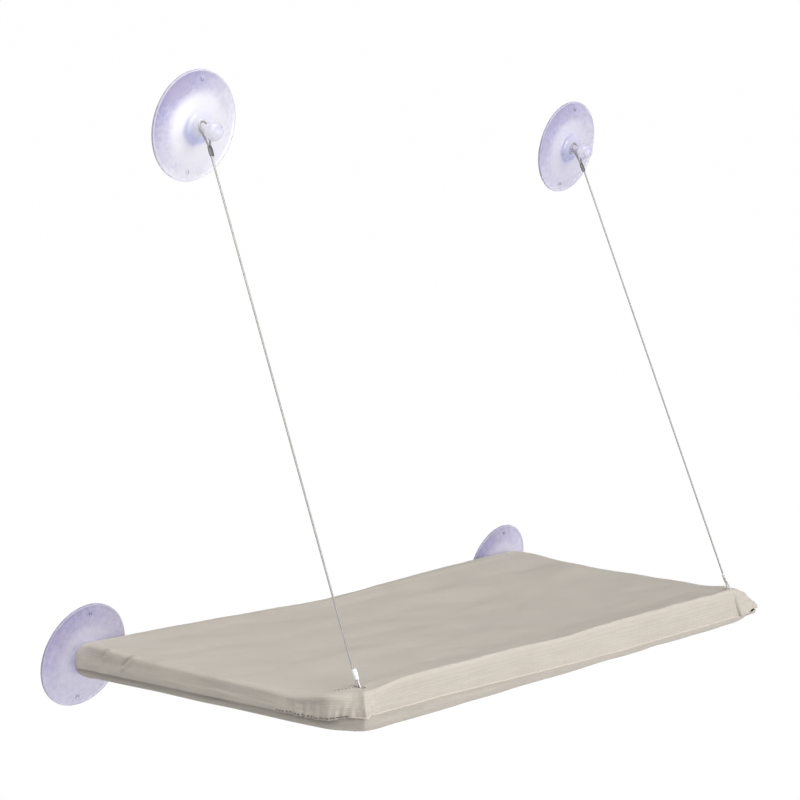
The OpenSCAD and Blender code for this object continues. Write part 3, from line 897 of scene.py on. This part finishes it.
def topCreases(place, theta, dx, dy, sign):
    # creases and puckers at named places, measured along the normal, and the painted shade in their
    # valleys
    x, y, z = place
    lift = cover["sideRidge"] * dx ** 4 * bell(theta, *cover["sideAngle"]) * (1 + waving("ridge", y))
    paintedFoldShade = 0.0
    if y > -sideLength and dy < 0.5 and sign < 0:
        for start, end, deep in cover["sideCreases"]:
            ends, beside, along = crease(y, z, start, end)
            ends *= deep * dx * ramp(theta, *cover["creaseFrom"])
            lift += ends * bells(beside, cover["creaseLifts"])
            # painted shade along the valley of each side crease
            paintedFoldShade += ends * bells(beside, cover["creasePaintedShade"])
    if dx > 0.45 and y < 0:
        # the stitched end of the side hem is puckered
        start = depth - cover["shutLength"]
        shut = ramp(-y, start, start + cover["puckerRun"]) * ramp(theta, *cover["puckerFrom"])
        folds = sin(y * 0.52 + 1.6 * sin(y * 0.13)) + 0.5 * sin(y * 1.13 + 0.7)
        lift += shut * (0.75 * folds - 1.0)
    if y < -sideLength and dx and dy:
        folds = bells(atan2(dy, dx) - tipAngle, cover["tipFolds"][sign])
        lift += ramp(theta, *cover["tipFoldFrom"]) * folds
    if sign > 0 and dy > 0.3 and y < 0:
        # the ear of the right end is folded under the front band
        ends, beside, along = crease(x, z, *cover["earCrease"])
        deep = ends * (0.55 + 0.45 * smooth(along))
        lift += deep * bells(beside, cover["earLifts"])
        # painted shade in the ear's fold
        paintedFoldShade += deep * bells(beside, cover["earPaintedShade"])
    return lift, paintedFoldShade


def earRise(dx, dy, shell):
    # how far a lip of the gap in the right end's ear stands above the hem
    if not (dx and dy):
        return 0.0
    phi = atan2(dy, dx)
    inner = shell["earMiddle"] * ramp(phi, *cover["earOpen"])
    outer = (shell["earTip"] - shell["earMiddle"]) * ramp(phi, cover["earTipFrom"], tipAngle)
    return (inner + outer) * ramp(phi, *cover["earRoot"])


def topSurface(x, y):
    sign = sideOf(x)
    place, normal, theta, (dx, dy) = coverPoint(x, y, cover)
    lift, paintedFoldShade = topCreases(place, theta, dx, dy, sign)
    along = x if dy > dx else y
    roll, low = ramp(theta, *cover["rollStart"]), ramp(theta, *cover["hemStart"])
    lift += (1 - roll) * (waving("panel", x, y) + waving("slant", x + 0.6 * y, y))
    lift += roll * (1 - ramp(theta, *cover["rollEnd"])) * waving("roll", along, theta)
    lift += low * waving("hem", along)
    share = smooth((place.z - cover["hemLevel"]) / (cover["radius"] - cover["hemLevel"]))
    if theta == 0:
        inside = min(halfWidth - abs(place.x), -place.y, place.y + depth)
        lift *= smooth(max(0.0, inside) / 18 + 0.25)
        place.z -= hollow(place.x, place.y)
    hem = 1 - share if theta else 0.0
    rise = edgeRise(place.x, place.y, sign) * share
    place.z += rise + hemRise(place.x, place.y, dx, dy, sign) * hem
    if y < -sideLength and dy:
        ends = 1 - cover["ridgeDrop"][sign] * ramp(abs(place.x), *cover["ridgeDropAt"])
        place.z += cover["frontRidge"] * ends * dy ** 4 * bell(theta, *cover["ridgeAngle"])
    if sign > 0 and y < -sideLength:
        near = ramp(atan2(dy, max(dx, 1e-6)), *cover["earDropAt"])
        place.z += earRise(dx, dy, cover) * low
        place.z -= cover["earDrop"] * near * bell(theta, *cover["earDropAngle"])
    place += normal * lift
    return place, paintedFoldShade


def gridLines(low, high, roll, rollCount, edge, edgeStep, middleStep):
    # places of the grid's lines: dense in the rolls and near the corners
    before, after = edge
    out = [low - roll + roll * k / rollCount for k in range(rollCount)]
    for start, span, step in (
        (low, before, edgeStep),
        (low + before, high - after - low - before, middleStep),
        (high - after, after, edgeStep),
    ):
        count = max(1, round(span / step))
        out += [start + span * k / count for k in range(count)]
    return out + [high + roll * t for t in evenly(rollCount)]


def makeCloth(name, shell, roll, shaper, up, cutters, nodes):
    xs = gridLines(-halfWidth, halfWidth, roll, *shell["gridX"])
    ys = gridLines(-depth, 0.0, roll, *shell["gridY"])
    shape = bmesh.new()
    bmesh.ops.create_grid(shape, x_segments=len(xs) - 1, y_segments=len(ys) - 1, size=1)
    flat = shape.loops.layers.uv.new("flat")
    ribbed = shape.verts.layers.float.new("ribbed")
    paintedFoldShade = shape.verts.layers.float.new("paintedFoldShade")  # painted shade in the creases and the ear's fold
    for v in shape.verts:
        x = xs[round((v.co.x + 1) / 2 * (len(xs) - 1))]
        y = ys[round((v.co.y + 1) / 2 * (len(ys) - 1))]
        for loop in v.link_loops:
            loop[flat].uv = (x * mm, y * mm)
        spot = planPlace(x, y)
        v[ribbed] = 0.25 + 0.75 * smooth((-y - depth + 4) / 8) * (spot[1] ** 2 if spot else 0)
        v.co, v[paintedFoldShade] = shaper(x, y)
    bmesh.ops.recalc_face_normals(shape, faces=shape.faces)
    if up * sum(f.normal.z * f.calc_area() for f in shape.faces) < 0:
        bmesh.ops.reverse_faces(shape, faces=shape.faces)
    bmesh.ops.transform(shape, matrix=platformPlace, verts=shape.verts)
    piece = objectFrom(name, shape, coverCloth)
    solid = piece.modifiers.new("cloth", "SOLIDIFY")
    solid.thickness = shell["thickness"] * mm
    solid.offset = -1
    for cutter in cutters:
        cut = piece.modifiers.new("hole", "BOOLEAN")
        cut.operation = "DIFFERENCE"
        cut.solver = "EXACT"
        cut.object = cutter
    old, fresh = piece.data, evaluated(piece)
    piece.modifiers.clear()
    piece.data = fresh
    bpy.data.meshes.remove(old)
    fresh.name = name
    for cutter in cutters:
        bpy.data.objects.remove(cutter)
    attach(piece, "platform")
    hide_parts(*nodes)
    return piece


# Openings for the lower knobs and slots for the cables
opening = {
    "width": 11.0,
    "angles": (-63.0, 33.0),
    "innerRadius": 2.0,
    "innerShift": 20.0,
    "outerRadius": 21.0,
    "steps": 12,
    "slotWidth": 3.0,
    "slotHalf": 4.0,
    "slotTall": 22.0,
    "slotUp": 3.0,
}
exitLean = tan(acos(cableDir.z) - radians(layout["rise"]))
holeY = anchorFront + (cover["radius"] + opening["slotUp"] - rope["anchorLevel"]) * exitLean


def cutterFrom(shape):
    bmesh.ops.transform(shape, matrix=platformPlace, verts=shape.verts)
    bmesh.ops.recalc_face_normals(shape, faces=shape.faces)
    return objectFrom("cutter", shape)


def knobCutter(sign):
    # a wedge round the neck, wide enough for it at every lift
    shape = bmesh.new()
    low, high = opening["angles"]
    inner, shift = opening["innerRadius"], opening["innerShift"]
    outline = [(inner, low + shift), (inner, high - shift)]
    outline += [(opening["outerRadius"], high - (high - low) * t) for t in evenly(opening["steps"])]
    x = sign * halfWidth - opening["width"] / 2
    verts = [shape.verts.new((x, r * cos(radians(a)), r * sin(radians(a)))) for r, a in outline]
    made = bmesh.ops.extrude_face_region(shape, geom=[shape.faces.new(verts)])["geom"]
    moved = [v for v in made if isinstance(v, bmesh.types.BMVert)]
    bmesh.ops.translate(shape, vec=(opening["width"], 0, 0), verts=moved)
    return cutterFrom(shape)


def slotCutter(sign):
    shape = bmesh.new()
    radius = opening["slotWidth"] / 2
    bmesh.ops.create_cone(
        shape, cap_ends=True, segments=24, radius1=radius, radius2=radius, depth=opening["slotTall"]
    )
    for v in shape.verts:
        v.co.y += copysign(opening["slotHalf"] - radius, v.co.y)
    place = (sign * anchorSide, holeY, cover["radius"] + opening["slotUp"] + 1)
    bmesh.ops.translate(shape, vec=place, verts=shape.verts)
    return cutterFrom(shape)


tubes = ["front_tube", "rear_tube", "left_tube", "right_tube"]
topRoll = cover["radius"] * hemAngle
coverTop = makeCloth(
    "cover_upper_cloth", cover, topRoll, topSurface, 1,
    [knobCutter(-1), knobCutter(1), slotCutter(-1), slotCutter(1)],
    ["cover_top_panel", "cover_front_band", "cover_rear_band", "cover_left_band",
     "cover_right_band", "cover_left_flap", "cover_right_flap"],
)
print("upper cloth made")

# Lower shell: the underside and the band below the hem
lower = {
    "radius": 12.1,
    "top": 8.0,
    "squares": (2.5, 2.1, 2.4),
    "sideFlare": -0.1,
    "frontFlare": 0.7,
    "rearBulge": 0.5,
    "thickness": 0.9,
    "gridX": (18, (40, 40), 2.4, 5.5),
    "gridY": (18, (40, 6), 2.4, 5.5),
    "sink": 0.4,
    "rollStart": (0.0, 0.6),
    "rollEnd": (1.4, 1.8),
    "earBase": 6.0,
    "earNear": (1.4, 1.34),
    "earRoot": (0.45, 0.55),
    "earMiddle": 0.3,
    "earTip": 1.6,
}


def lowerShape(x, y):
    place, normal, theta, (dx, dy) = coverPoint(x, y, lower)
    if theta == 0:
        lift = waving("underside", x, y) - lower["sink"]
    else:
        side = ramp(theta, *lower["rollStart"]) * (1 - ramp(theta, *lower["rollEnd"]))
        lift = side * waving("lowerRoll", x if dy > dx else y, theta)
    place += normal * lift
    place.z = -place.z
    base = lower["earBase"]
    if x > 0 and y < -sideLength and place.z > -base and dx:
        # the top edge stays low behind the gap of the ear
        phi = atan2(dy, dx)
        share = (cover["hemLevel"] + earRise(dx, dy, lower) + base) / (lower["top"] + base)
        near = ramp(phi, *lower["earNear"]) * ramp(phi, *lower["earRoot"])
        place.z = -base + (place.z + base) * (1 + (share - 1) * near)
        if theta > pi / 2:
            # and it reaches out to the ear's tip instead of curling inwards
            cx, cy = halfWidth - cornerRadius, -sideLength
            k = (cornerRadius + lower["radius"] * pi / 2) / max(x - cx, cy - y)
            full = coverPoint(cx + (x - cx) * k, cy + (y - cy) * k, lower)[0]
            place.x += (full.x - place.x) * near
            place.y += (full.y - place.y) * near
    return place, 0.0


lowerRoll = lower["radius"] * acos(-lower["top"] / lower["radius"])
coverLower = makeCloth(
    "cover_lower_cloth", lower, lowerRoll, lowerShape, -1, [knobCutter(-1), knobCutter(1)],
    ["cover_bottom_panel"],
)
print("lower cloth made")

# Piping along the hem, and rows of stitches that follow the cloth
trim = {
    "pipeRadius": 0.85,
    "pipeSides": 10,
    "pipeInset": 0.5,
    "pipeUp": 0.1,
    "pipeSteps": (2.0, 3.0),
    "frontEnd": 255.0,
    "rearInset": 9.0,
    "hemStitch": (2.1, 0.42),
    "hemEvery": 3.1,
    "hemInset": 1.6,
    "hemPast": 14.0,
    "holeStitch": (1.9, 0.3, 0.05),
    "holeCount": 22,
    "holeGap": (0.9, 0.7),
    "rowStitch": (1.7, 0.36),
    "rowStart": 5.2,
    "rowEvery": 2.6,
    "rowCount": 8,
    "rowSlope": (0.66, 0.75),
}


def topShape(x, y):
    return topSurface(x, y)[0]


def flatFromPlan(x, y):
    # the place on the flat cut of a point on the top of the panel
    past = -y - sideLength
    u = abs(x) - (halfWidth - cornerRadius)
    if past <= 0 or u <= 0:
        return x, y
    far, phi = hypot(u, past), atan2(past, u)
    u, v = (far / tan(phi), far) if phi > pi / 4 else (far, far * tan(phi))
    return copysign(halfWidth - cornerRadius + u, x), -sideLength - v


def tubeAlong(shape, points):
    # a thin round cord through points, made ring by ring
    sides = trim["pipeSides"]
    ring = None
    for k, p in enumerate(points):
        ahead = (points[min(k + 1, len(points) - 1)] - points[max(k - 1, 0)]).normalized()
        side = ahead.cross(Vector((0, 0, 1))).normalized()
        over = side.cross(ahead)
        spots = []
        for i in range(sides):
            a = 2 * pi * i / sides
            spots.append(p + trim["pipeRadius"] * (cos(a) * side + sin(a) * over))
        if ring is None:
            ring = [shape.verts.new(s) for s in spots]
            edges = [shape.edges.new((ring[i], ring[(i + 1) % sides])) for i in range(sides)]
            shape.faces.new(ring)
            continue
        edges, fresh = extruded(shape, edges)
        for v in fresh:
            i = min(range(sides), key=lambda n: (ring[n].co - v.co).length_squared)
            v.co, ring[i] = spots[i], v
    shape.faces.new(ring)


def hemLine(start, end, step):
    # points on the hem between two places on the edge of the flat cut
    start, end = Vector(start), Vector(end)
    out = []
    for t in evenly(max(2, round((end - start).length / step))):
        x, y = start.lerp(end, t)
        spot = planPlace(x, y)
        away = Vector((sideOf(x) * spot[0], (-1 if spot[6] else 1) * spot[1], 0))
        out.append(topShape(x, y) - trim["pipeInset"] * away + Vector((0, 0, trim["pipeUp"])))
    return out


def makePiping():
    shape = bmesh.new()
    edge = depth + topRoll
    frontStep, rearStep = trim["pipeSteps"]
    rearEnd = halfWidth - trim["rearInset"]
    tubeAlong(shape, hemLine((-halfWidth - topRoll, -edge), (trim["frontEnd"], -edge), frontStep))
    tubeAlong(shape, hemLine((-rearEnd, topRoll), (rearEnd, topRoll), rearStep))
    bmesh.ops.transform(shape, matrix=platformPlace, verts=shape.verts)
    piece = addPiece("seam_piping", shape, "platform", pipingCloth)
    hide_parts("cover_seam")
    return piece


def addStitch(shape, x, y, turn, length, wide, proud=0.12):
    # one stitch on the cloth: a flattened bead turned along the row
    stitch = bmesh.ops.create_uvsphere(shape, u_segments=8, v_segments=5, radius=1)["verts"]
    place = topShape(x, y)
    across = topShape(x, y + 0.6) - topShape(x, y - 0.6)
    up = (topShape(x + 0.6, y) - topShape(x - 0.6, y)).cross(across).normalized()
    ahead = topShape(x + 0.5 * cos(turn), y + 0.5 * sin(turn)) - place
    ahead = (ahead - ahead.dot(up) * up).normalized()
    matrix = Matrix((ahead, up.cross(ahead), up)).transposed().to_4x4()
    matrix.translation = place + up * proud
    bmesh.ops.scale(shape, vec=(length / 2, wide, wide * 0.8), verts=stitch)
    bmesh.ops.transform(shape, matrix=matrix, verts=stitch)


def makeStitches():
    hemRows, holeRows = bmesh.new(), bmesh.new()
    slopeX, slopeY = trim["rowSlope"]
    gapX, gapY = trim["holeGap"]
    for sign in (-1, 1):
        y = cover["shutLength"] - depth
        while y > -depth - trim["hemPast"]:
            x = sign * (halfWidth + topRoll - trim["hemInset"])
            addStitch(hemRows, x, y, pi / 2, *trim["hemStitch"])
            y -= trim["hemEvery"]
        for k in range(trim["holeCount"]):
            a = 2 * pi * k / trim["holeCount"]
            px = sign * anchorSide + (opening["slotWidth"] / 2 + gapX) * cos(a)
            py = holeY + (opening["slotHalf"] + gapY) * sin(a)
            addStitch(holeRows, *flatFromPlan(px, py), a, *trim["holeStitch"])
        for k in range(trim["rowCount"]):
            reach = trim["rowStart"] + trim["rowEvery"] * k
            px = sign * (anchorSide + reach * slopeX)
            if abs(px) < halfWidth - 1:
                spot = flatFromPlan(px, holeY + reach * slopeY)
                addStitch(hemRows, *spot, atan2(slopeY, sign * slopeX), *trim["rowStitch"])
    for shape in (hemRows, holeRows):
        bmesh.ops.transform(shape, matrix=platformPlace, verts=shape.verts)
    hemPiece = addPiece("hem_stitches", hemRows, "platform", darkThread)
    holePiece = addPiece("buttonhole_stitches", holeRows, "platform", seamThread)
    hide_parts("cable_buttonholes")
    return hemPiece, holePiece


piping = makePiping()
stitching = makeStitches()
2 * (halfWidth + topRoll) * mm
(depth + 2 * topRoll) * mm
print("piping and stitches made")

# CAD nodes that keep their own shape get their finish
fittings = [f"{end}_{side}_corner" for end in ("front", "rear") for side in ("left", "right")]
tapes = [f"flap_{kind}_tape_{side}" for kind in ("hook", "loop") for side in ("left", "right")]
for material, names in (
    (tubePlastic, tubes),
    (fittingPlastic, fittings),
    (fixingSteel, ["frame_screws", "cable_pins"]),
    (seamThread, ["knob_opening_left", "knob_opening_right"]),
    (tapeFinish, tapes),
):
    for name in names:
        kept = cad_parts[name].data.materials
        kept.clear()
        kept.append(material)
print("kept nodes finished")

# Floor, light and backdrop
studio = {
    "floorLevel": -0.62,
    "floorSize": 60.0,
    "floorTones": ((0.7, 0.7, 0.7), (0.74, 0.74, 0.74)),
    "floorGlow": 1.01,
    "floorClear": 0.985,
    "world": 0.08,
    "aim": (0, -0.15, 0.1),
    "lights": (
        ("frontSoft", (0.5, -3.0, 0.7), 2.2, 70.0),
        ("topSoft", (-0.7, -0.3, 2.6), 1.4, 49.5),
        ("leftFill", (-2.2, -0.5, 2.0), 1.6, 27.0),
    ),
}


def directRays(tree):
    # 1 for rays from the camera, off gloss or through clear pieces
    rays = tree.nodes.new("ShaderNodeLightPath").outputs
    share = rays["Is Camera Ray"]
    for name in ("Is Glossy Ray", "Is Transmission Ray"):
        both = tree.nodes.new("ShaderNodeMath")
        both.operation = "MAXIMUM"
        tree.links.new(share, both.inputs[0])
        tree.links.new(rays[name], both.inputs[1])
        share = both.outputs[0]
    return share


def makeFloor():
    pale = Finish("paleFloor")
    cloud = pale.noise(pale.objectPlace(), 2.0)
    pale.set(Base_Color=pale.blendColour(cloud, *studio["floorTones"]), Roughness=0.9)
    glow = pale.node("Emission", {}, {"Color": (1, 1, 1, 1), "Strength": studio["floorGlow"]})
    seen = Wire(pale, directRays(pale.tree)) * studio["floorClear"]
    pale.show(pale.node("MixShader", {}, {0: seen, 1: pale.surface, 2: glow}))
    shape = bmesh.new()
    bmesh.ops.create_grid(shape, x_segments=8, y_segments=8, size=studio["floorSize"] / 2 / mm)
    bmesh.ops.translate(shape, vec=(0, 0, studio["floorLevel"] / mm), verts=shape.verts)
    objectFrom("floor", shape, pale.material)


def makeWorld():
    world = bpy.data.worlds.new("studioWorld")
    scene.world = world
    world.use_nodes = True
    tree = world.node_tree
    tree.nodes.clear()
    mix = tree.nodes.new("ShaderNodeMixShader")
    tree.links.new(directRays(tree), mix.inputs[0])
    for k, strength in ((1, studio["world"]), (2, 1.0)):
        shine = tree.nodes.new("ShaderNodeBackground")
        shine.inputs["Color"].default_value = (1, 1, 1, 1)
        shine.inputs["Strength"].default_value = strength
        tree.links.new(shine.outputs[0], mix.inputs[k])
    out = tree.nodes.new("ShaderNodeOutputWorld")
    tree.links.new(mix.outputs[0], out.inputs["Surface"])


def makeLights():
    for name, place, size, power in studio["lights"]:
        data = bpy.data.lights.new(name, "AREA")
        data.shape = "DISK"
        data.size = size
        data.energy = power
        lamp = bpy.data.objects.new(name, data)
        lamp.location = place
        lamp.rotation_euler = (Vector(studio["aim"]) - Vector(place)).to_track_quat("-Z", "Y").to_euler()
        lamp.visible_transmission = False  # no lamp glares through the clear cups
        scene.collection.objects.link(lamp)


makeFloor()
makeWorld()
makeLights()
scene.view_settings.view_transform = "Standard"
print("studio made")
